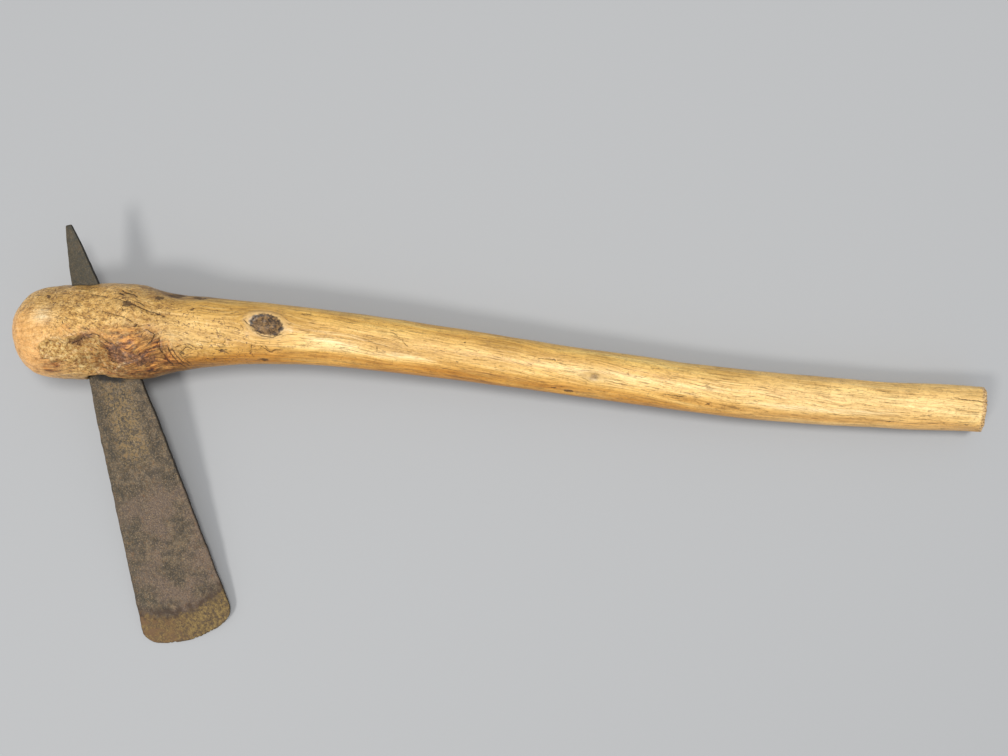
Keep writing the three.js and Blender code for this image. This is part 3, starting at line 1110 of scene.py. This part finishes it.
def squiggles(g, place, scale, width, cover):
    """Short dark curved strokes: pieces of a noise's contour line, kept where another noise is high."""
    line = g.math("ABSOLUTE", g.math("SUBTRACT", g.noise(place, scale, 2.0, 0.5), 0.5))
    kept = g.between(g.noise(place, 0.33, 2.0, 0.5), cover, cover + 0.10)
    return g.times(g.between(line, width * 0.3, width, 1.0, 0.0), kept)


def wood_material():
    """Honey-coloured, hand-polished wood with open grain, stains, cracks and knots."""
    g = Graph("haft_wood")
    grain = g.attribute("grain")
    plan = g.attribute("plan")
    masks = ("upper", "purple", "rusty", "hollow", "recess_shade", "zone", "slot_shade_and_edge_stain", "neck", "nose", "knob")
    upper, purple, rusty, hollow, recess_shade, zone, slot_shade_and_edge_stain, neck, nose, knob = map(g.number, masks)
    bands = g.noise(grain, (0.010, 0.13, 0.13), 4.0, 0.55)
    streaks = g.noise(grain, (0.024, 0.75, 0.75), 5.0, 0.62)
    fibres = g.noise(grain, (0.060, 1.7, 1.7), 4.0, 0.68)
    dashes = g.noise(grain, (0.070, 1.9, 1.9), 3.0, 0.55)
    fine_dashes = g.noise(grain, (0.16, 2.0, 2.0), 2.0, 0.5)
    cloud = g.noise(plan, 0.040, 4.0, 0.6)
    mottle = g.noise(plan, 0.20, 5.0, 0.70)
    grit = g.noise(plan, 0.95, 4.0, 0.75)
    calm = g.between(knob, 0.0, 1.0, 1.0, 0.50)

    # Honey along the grip and tan on the knob, under broad stains.
    honey = g.ramp(
        bands, (0.34, 204, 160, 84), (0.44, 228, 184, 106), (0.54, 240, 200, 124), (0.66, 252, 222, 156)
    )
    tan = g.ramp(
        mottle, (0.36, 156, 112, 50), (0.45, 200, 154, 80), (0.54, 220, 176, 100), (0.64, 242, 202, 130)
    )
    g.colour = g.mix(g.times(knob, 0.88), honey, tan)
    blotch = g.ragged(g.number("olive_top"), g.noise(plan, (0.16, 0.30, 0.30), 5.0, 0.70), 2.4)
    g.paint(g.times(blotch, 0.42), 154, 114, 46)
    warm = g.ragged(g.number("orange"), mottle, 2.0)
    g.paint(g.times(warm, 0.55), 206, 138, 64)
    g.paint(g.times(nose, g.between(mottle, 0.3, 0.6, 0.6, 0.9)), 230, 170, 100)
    g.paint(g.times(g.number("pale"), 0.45), 255, 220, 156)
    olive = g.times(g.between(cloud, 0.45, 0.58), g.between(streaks, 0.35, 0.6, 1.0, 0.45))
    top_side = g.between(zone, 0.55, 0.85, 0.28, 0.48)
    g.paint(g.times(olive, top_side), 172, 134, 60)
    g.paint(g.times(neck, g.between(mottle, 0.40, 0.58, 0.3, 0.8)), 198, 157, 82)

    # Streaks, fibres, pores, specks, short curved strokes, and painted highlights.
    g.paint(g.times(g.between(streaks, 0.36, 0.52, 0.26, 0.0), calm), 150, 106, 48)
    g.paint(g.times(g.between(streaks, 0.55, 0.68, 0.0, 0.40), calm), 254, 226, 168)
    smooth_nose = g.between(nose, 0.0, 1.0, 1.0, 0.35)
    g.paint(g.times(g.between(fibres, 0.38, 0.50, 0.46, 0.0), smooth_nose), 134, 92, 42)
    g.paint(g.between(fibres, 0.55, 0.68, 0.0, 0.30), 252, 222, 162)
    pores = g.larger(g.between(dashes, 0.63, 0.69, 0.0, 0.70), g.between(fine_dashes, 0.65, 0.72, 0.0, 0.6))
    flecks = g.noise(grain, (0.40, 1.15, 1.15), 3.0, 0.65)
    flecks = g.times(g.between(flecks, 0.58, 0.65, 0.0, 0.62), knob)
    pores = g.larger(g.times(pores, calm), flecks)
    pores = g.times(pores, g.between(nose, 0.0, 1.0, 1.0, 0.18))
    g.paint(pores, 88, 58, 26)
    speck = g.times(g.between(grit, 0.55, 0.64), g.between(knob, 0.0, 1.0, 0.20, 0.74))
    g.paint(g.times(speck, g.between(nose, 0.0, 1.0, 1.0, 0.3)), 128, 88, 42)
    pale = g.times(g.between(grit, 0.45, 0.36, 0.0, 0.5), g.between(knob, 0.0, 1.0, 0.25, 1.0))
    g.paint(pale, 244, 210, 150)
    strokes = squiggles(g, plan, (0.30, 0.52, 0.52), 0.026, 0.44)
    marked = g.larger(g.larger(neck, blotch), g.times(knob, 0.34))
    strokes = g.times(strokes, g.between(marked, 0.1, 0.5, 0.35, 1.0))
    g.paint(g.times(strokes, smooth_nose), 92, 60, 26)
    # Painted highlights: pale streaks along the grip and a pale patch on the nose.
    g.paint(g.times(g.number("worn"), g.between(fibres, 0.40, 0.56, 0.15, 0.62)), 255, 238, 196)

    # Tints across the haft, partly brown patina and partly painted shade on its rounded sides: brown on the
    # cutting edge's side, none in the middle, olive on the tang's side.
    side_tint_and_shade = g.ramp(
        g.add(zone, g.centred(bands, 0.26)),
        (0.04, 196, 164, 100), (0.20, 226, 194, 124), (0.31, 248, 238, 212), (0.40, 255, 255, 255),
        (0.60, 255, 253, 248), (0.76, 243, 234, 196), (0.96, 218, 214, 180),
    )
    g.glaze(g.number("zoned"), side_tint_and_shade)

    # The crumbly hollow, the rusty and bruised shoulder, and the crevice.
    crumbs = g.noise(plan, 0.55, 5.0, 0.80)
    crumbly = g.ramp(
        crumbs, (0.40, 128, 84, 38), (0.465, 208, 160, 88), (0.53, 238, 194, 116), (0.60, 255, 228, 162)
    )
    hollow = g.ragged(hollow, mottle, 1.2)
    g.paint(g.times(hollow, 0.9), crumbly)
    frayed = g.noise(grain, (0.10, 1.0, 1.0), 4.0, 0.70)
    rust_tone = g.ramp(frayed, (0.41, 60, 28, 9), (0.50, 136, 77, 26), (0.60, 216, 150, 74))
    g.paint(g.times(rusty, g.between(mottle, 0.40, 0.58, 1.0, 0.55)), rust_tone)
    bruise = g.times(g.ragged(purple, g.noise(plan, 0.30, 5.0, 0.75), 2.6), 0.85)
    bruise_tone = g.ramp(crumbs, (0.42, 56, 30, 20), (0.50, 104, 64, 42), (0.60, 172, 122, 78))
    g.paint(bruise, bruise_tone)
    g.paint(g.times(g.number("crevice"), 0.88), bruise_tone)

    # Knots, painted shade inside the slot and a dark stain along the tang's side of the shoulder, torn edges,
    # painted shade in the pits and other sunken places, the notch painted near black as its shade, spots and
    # cracks.
    place = loose_place(g, plan, 0.55, 3.0)
    paint_knots(g, place, plan, upper)
    # Painted shade inside the slot, and a dark stain along the tang's side of the shoulder.
    g.paint(g.times(slot_shade_and_edge_stain, g.between(streaks, 0.40, 0.60, 0.9, 0.25)), 104, 72, 36)
    torn = g.times(g.number("torn"), g.between(grit, 0.42, 0.56))
    g.paint(g.times(torn, 0.8), 246, 214, 156)
    # Painted shade where the relief sinks in, weaker inside the crumbly hollow.
    g.paint(g.times(recess_shade, g.between(hollow, 0.0, 1.0, 0.75, 0.12)), 82, 48, 26)
    # The notch is painted near black: painted shade under the slot's lower lip.
    g.paint(g.times(g.number("notch"), 0.95), 30, 18, 11)
    spots = g.ragged(g.larger(spot_mask(g, place), g.number("spots")), grit, 2.4)
    dark = g.times(g.larger(crack_mask(g, plan), g.times(spots, 0.8)), upper)
    g.paint(g.times(dark, 0.88), 52, 31, 17)

    # Uneven shade over all, and the butt's sawn end grain.
    shade_cloud = g.noise(plan, 0.30, 5.0, 0.72)
    shade = g.ramp(shade_cloud, (0.38, 214, 206, 190), (0.46, 248, 246, 242), (0.60, 255, 255, 255))
    g.glaze(g.between(knob, 0.0, 1.0, 0.35, 1.0), shade)
    sawn = g.ramp(grit, (0.40, 112, 82, 48), (0.50, 178, 140, 88), (0.60, 224, 190, 136))
    g.paint(g.times(g.number("sawn"), 0.9), sawn)

    matt = g.add(g.between(streaks, 0.3, 0.7, 0.50, 0.34), g.times(hollow, 0.35))
    matt = g.math("ADD", matt, g.times(g.larger(dark, rusty), 0.3), clamp=True)
    height = g.add(g.times(streaks, 0.8), g.times(fibres, 0.5))
    height = g.math("SUBTRACT", height, g.times(pores, 0.6))
    height = g.math("SUBTRACT", height, g.times(dark, 1.3))
    for noise, mask, amount in ((crumbs, hollow, 3.4), (frayed, rusty, 2.4), (mottle, knob, 2.4)):
        height = g.add(height, g.times(g.times(noise, mask), amount))
    g.shader_inputs({
        "Base Color": g.colour,
        "Roughness": matt,
        "Specular IOR Level": 0.45,
        "Coat Weight": 0.15,
        "Coat Roughness": 0.28,
        "Normal": g.bump(height, 0.00055, 0.9),
    })
    return g.material


def iron_material():
    """Forged iron with a dark brown patina, fine rust, and a worn ochre bevel."""
    g = Graph("blade_iron")
    local = g.attribute("forge")
    along, across, _ = g.split(local)
    cloud = g.noise(local, 0.050, 5.0, 0.6)
    mottle = g.noise(local, 0.24, 5.0, 0.68)
    speckle = g.noise(local, 0.62, 5.0, 0.78)
    grit = g.noise(local, 1.15, 4.0, 0.78)

    # Patina: brown, purplish towards the edge, greenish on the nose's side, with a tan band down the middle.
    g.colour = g.ramp(mottle, (0.36, 38, 33, 26), (0.46, 60, 51, 39), (0.54, 78, 67, 52), (0.66, 102, 87, 67))
    purple = g.times(g.between(cloud, 0.40, 0.60), g.between(along, 140.0, 172.0))
    g.paint(g.times(purple, 0.75), 98, 81, 70)
    green = g.times(g.between(across, -6.0, -22.0), g.between(mottle, 0.35, 0.6, 1.0, 0.5))
    g.paint(g.times(green, 0.5), 58, 54, 41)
    tan_band = g.times(g.between(along, 84.0, 112.0, 0.35, 1.0), g.between(along, 150.0, 132.0))
    tan_band = g.times(tan_band, g.between(g.math("ABSOLUTE", across), 13.0, 4.0))
    tan_spots = g.times(g.between(speckle, 0.46, 0.56), g.add(tan_band, 0.16))
    g.paint(g.times(tan_spots, 0.66), 142, 118, 76)

    # Grain, worn spots and rust, and the darker tang.
    g.paint(g.between(grit, 0.53, 0.62, 0.0, 0.48), 146, 126, 98)
    g.paint(g.between(grit, 0.47, 0.39, 0.0, 0.55), 36, 31, 24)
    g.paint(g.between(g.noise(local, 0.75, 3.0, 0.6), 0.66, 0.71, 0.0, 0.55), 168, 148, 112)
    rust = g.times(g.between(speckle, 0.55, 0.63), g.between(mottle, 0.45, 0.56))
    g.paint(g.times(rust, 0.45), 104, 62, 34)
    g.paint(g.times(g.between(along, 60.0, 30.0), 0.65), 52, 52, 44)

    # The ochre bevel, its dark upper line, the painted shade on the outline and the painted shadow under the
    # slot's lip.
    ragged = g.centred(g.noise(local, 0.16, 6.0, 0.72), 20.0)
    from_edge = g.add(g.number("from_edge"), ragged)
    bevel = g.between(from_edge, 20.5, 16.5)
    ochre = g.ramp(speckle, (0.40, 56, 41, 20), (0.50, 100, 79, 41), (0.60, 138, 116, 66))
    brown = g.times(g.between(across, 12.0, -20.0, 0.0, 0.8), g.between(mottle, 0.42, 0.56, 1.0, 0.3))
    ochre = g.mix(brown, ochre, tone(104, 74, 42))
    g.paint(g.times(bevel, 0.88), ochre)
    line = g.times(g.between(from_edge, 14.0, 18.5), g.between(from_edge, 27.0, 19.5))
    g.paint(g.times(line, g.between(mottle, 0.42, 0.56, 0.85, 0.35)), 56, 38, 22)
    g.paint(g.times(g.number("rim"), 0.92), 20, 18, 15)
    g.paint(g.times(g.number("shadowed"), 0.94), 20, 15, 11)

    height = g.add(g.times(speckle, 0.6), g.times(grit, 0.4))
    height = g.add(height, g.times(mottle, 0.8))
    g.shader_inputs({
        "Base Color": g.colour,
        "Metallic": 0.25,
        "Roughness": g.between(speckle, 0.3, 0.7, 0.50, 0.75),
        "Normal": g.bump(height, 0.00035, 0.8),
    })
    return g.material


def floor_material():
    g = Graph("pale_floor")
    g.shader_inputs({"Base Color": tone(160, 162, 165), "Roughness": 0.9})
    return g.material


# ---------------------------------------------------------------- what the materials read


def mark_haft(haft):
    """Per-vertex masks and coordinates of the wood."""
    points = plain_points(haft)
    loose = points + 2.4 * fractal(points / 5.0, 141, 2)[:, None]
    y, z, breadth, half_height = spine(points[:, 0])
    level = (points[:, 2] - z) / half_height
    side = (points[:, 1] - y) / breadth
    depth = turn_of(points)[1] / breadth
    # Painted shade on the walls inside the slot, deeper in darker.
    inside_slot = ease(0.86, 0.72, depth) * ease(22, 30, points[:, 0]) * ease(125, 110, points[:, 0])
    crevice, share = distance_to_path(wander(points, 4.0, 0.8), CREVICE)
    crevice = np.exp(-((crevice / 1.7) ** 2)) * ease(0, 0.15, share) * ease(1, 0.8, share)
    crevice *= ease(0.0, 0.25, level)
    purple = near(loose, STAIN, 7.0, 7.0) + near(loose, DARK_STAIN, 12.0, 5.5)
    rusty = 1.3 * near(loose, FRAY, 22.0, 10.5) + 1.1 * near(loose, NOSE_STAIN, 8.0, 5.0)
    rusty += 1.15 * near(loose, DARK_STAIN, 18, 15) + 0.6 * near(loose, STAIN, 20.0, 13.0)
    # How strongly the tints across the haft, partly painted shade, are laid on along it.
    zoned = ease(60, 112, points[:, 0]) * (1.0 - 0.35 * ease(360, 470, points[:, 0]))
    # A dark stain along the tang's side of the shoulder.
    fringe = ease(0.72, 0.98, side) * ease(70, 90, points[:, 0]) * ease(190, 160, points[:, 0])
    sides, weights = crack_lines(points)
    olive_top = near(loose, on_top(27, 17), 17, 11) + near(loose, on_top(76, 19), 22, 9)
    orange = 0.6 * near(loose, on_top(46, -2), 26, 7) + near(loose, on_top(84, -6), 15, 11)
    marks = {
        "crack_side": sides,
        "crack_weight": weights,
        "torn": torn_share(points),
        "spots": spot_share(points),
        "plan": points,
        "grain": grain_coordinates(points),
        "upper": ease(0.0, 0.25, level),
        "purple": np.clip(purple, 0, 1),
        "rusty": np.clip(rusty, 0, 1),
        "crevice": crevice,
        "notch": notch_share(points),
        "hollow": hollow_share(points),
        # Painted shade where the relief sinks in.
        "recess_shade": ease(-0.35, -2.2, damage_relief(points)),
        "zone": 0.5 + 0.5 * side - 0.25 * ease(0.0, -0.9, level),
        "zoned": zoned,
        "slot_shade_and_edge_stain": np.clip(inside_slot + 0.8 * fringe, 0, 1),
        "neck": near(points, DIMPLES, 30.0, 24.0),
        "nose": ease(46, 12, points[:, 0]) * ease(16, -2, points[:, 1]),
        "pale": ease(360, 470, points[:, 0]),
        "knob": ease(112, 80, points[:, 0]),
        "sawn": butt_share(points),
        "olive_top": np.clip(olive_top, 0, 1),
        "orange": np.clip(orange, 0, 1),
        # Painted highlights along the grip and on the nose.
        "worn": painted_highlight_share(points),
    }
    for name, values in marks.items():
        set_attribute(haft, name, values)


def painted_highlight_share(points):
    """1 along the grip's painted highlight streaks and on the nose's painted highlight, 0 a few millimetres
    away from them.
    """
    share = np.zeros(points.shape[:-1])
    for width, path in PAINTED_HIGHLIGHT_STREAKS:
        away, along = distance_to_path(points, path)
        share = np.maximum(share, np.exp(-((away / width) ** 2)) * np.clip(4 * along * (1 - along), 0, 1))
    share = np.maximum(share, 0.9 * near(points, on_top(24.5, 6), 5.5, 4.5))
    return share * upper_side(points)


def mark_blade(blade):
    """Per-vertex coordinates and masks of the iron, and its distance from the cutting edge."""
    local = to_blade(mesh_points(blade))
    outline = blade_outline()
    edge = outline[outline[:, 0] > BLADE_LENGTH - 14]
    order = np.argsort(edge[:, 1])
    edge_at = np.interp(local[:, 1], edge[order, 1], edge[order, 0])
    set_attribute(blade, "forge", local)
    set_attribute(blade, "from_edge", edge_at - local[:, 0])
    # Painted shade along the blade's outline, darkest on the grip's side and under the blade.
    set_attribute(blade, "rim", rim_shade_share(blade))
    mouth = local[:, 0] + fractal(local / 3.0, 151, 2)
    gap = ease(93.2, 91.6, mouth - 0.30 * local[:, 1]) * ease(60, 72, local[:, 0])
    gap *= ease(-11, -7, local[:, 1]) * ease(9, 4, local[:, 1])
    set_attribute(blade, "shadowed", gap)


def rim_shade_share(blade):
    """How much painted shade darkens the blade's outline: by side on the upper face, 1 on the lower, and 0 off
    the outline.
    """
    share = np.zeros(len(blade.data.vertices))
    per_sheet = len(share) // 2
    grid = np.arange(per_sheet).reshape(blade_grid_size())
    nose_side, tip, edge, grip_side = grid[:, 0], grid[0], grid[-1], grid[:, -1]
    for side, dark in ((nose_side, 0.15), (tip, 0.35), (edge, 0.30), (grip_side, 0.90)):
        share[side] = dark
        share[side + per_sheet] = 1.0
    return share


def dress(piece, node, material):
    """Gives a piece its material and ties it to the frame."""
    piece.data.materials.clear()
    piece.data.materials.append(material)
    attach(piece, "root")
    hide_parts(node)


# ---------------------------------------------------------------- camera, floor and light


def make_camera():
    middle = (HAFT_LOW + HAFT_HIGH) / 2
    data = bpy.data.cameras.new("camera")
    data.lens = CAMERA_LENS
    data.sensor_width = 36.0
    camera = bpy.data.objects.new("camera", data)
    camera.location = (middle.x + CAMERA_ASIDE.x, middle.y + CAMERA_ASIDE.y, CAMERA_HEIGHT)
    camera.rotation_euler = (0, 0, CAMERA_TURN)
    link(camera)
    bpy.context.scene.camera = camera


def make_floor():
    mesh = bpy.data.meshes.new("floor")
    corners = [(FLOOR_REACH * x, FLOOR_REACH * y, 0) for x, y in ((-1, -1), (1, -1), (1, 1), (-1, 1))]
    mesh.from_pydata(corners, [], [(0, 1, 2, 3)])
    mesh.materials.append(floor_material())
    floor = bpy.data.objects.new("floor", mesh)
    floor.location.z = -FLOOR_GAP
    link(floor)


def area_light(name, place, size, power, colour):
    """A soft disc of light aimed at the frame's origin: its place and size in metres, its power in watts."""
    data = bpy.data.lights.new(name, "AREA")
    data.shape = "DISK"
    data.size = size
    data.energy = power
    data.color = colour
    light = bpy.data.objects.new(name, data)
    light.location = place
    light.rotation_euler = (-Vector(place)).to_track_quat("-Z", "Y").to_euler()
    link(light)


def make_light():
    """A soft key from high on the knob's and the cutting edge's side, one from nearly overhead, and a sky."""
    area_light("key", (-0.95, -0.75, 1.50), 0.45, 17.0, (1.0, 0.965, 0.91))
    area_light("top", (0.35, 0.42, 1.85), 0.60, 24.0, (1.0, 0.975, 0.93))
    world = bpy.data.worlds.new("studio")
    world.use_nodes = True
    sky = world.node_tree.nodes["Background"]
    sky.inputs["Color"].default_value = SKY_COLOUR
    sky.inputs["Strength"].default_value = SKY_STRENGTH
    bpy.context.scene.world = world
    bpy.context.scene.view_settings.view_transform = "Standard"


def main():
    make_camera()
    make_floor()
    make_light()
    haft = build_haft()
    mark_haft(haft)
    dress(haft, "haft", wood_material())
    blade = build_blade()
    mark_blade(blade)
    dress(blade, "blade", iron_material())


main()
bpy.context.view_layer.update()
